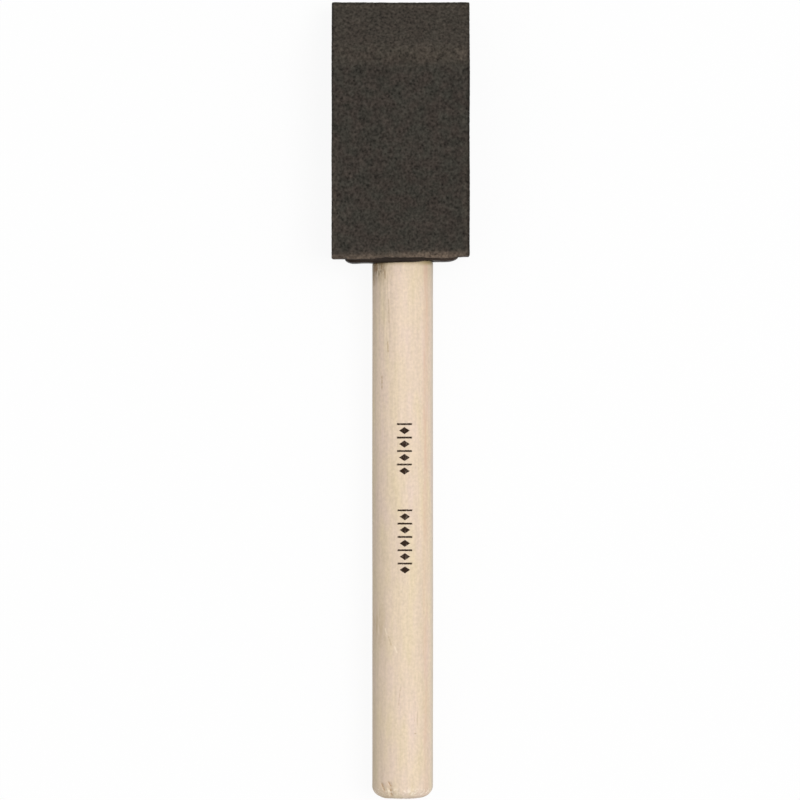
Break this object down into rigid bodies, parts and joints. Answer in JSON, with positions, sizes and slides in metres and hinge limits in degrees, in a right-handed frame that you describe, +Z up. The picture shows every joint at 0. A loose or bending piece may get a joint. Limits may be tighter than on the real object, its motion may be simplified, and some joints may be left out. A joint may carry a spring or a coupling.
{
  "type": "foam sponge brush",
  "caption": "Narrow foam paint brush: a chisel-edged charcoal foam block on a black plastic insert, with a round pale wooden handle.",
  "frame": {"origin": "under the middle of the brush, on the surface that the foam's flat face lies on", "axes": "+X along the brush from the butt of the handle to the foam's tip, +Y across its width, +Z up through the foam's thickness"},
  "size_m": [0.1454, 0.0254, 0.015],
  "materials": {
    "foam": "matte",
    "black_plastic": "satin",
    "birch": "matte",
    "adhesive": "gloss"
  },
  "bodies": {
    "root": {"foam_head": "foam", "plastic_insert": "black_plastic", "handle": "birch", "blade_adhesive_front": "adhesive", "blade_adhesive_back": "adhesive", "socket_adhesive": "adhesive"}
  },
  "joints": []
}
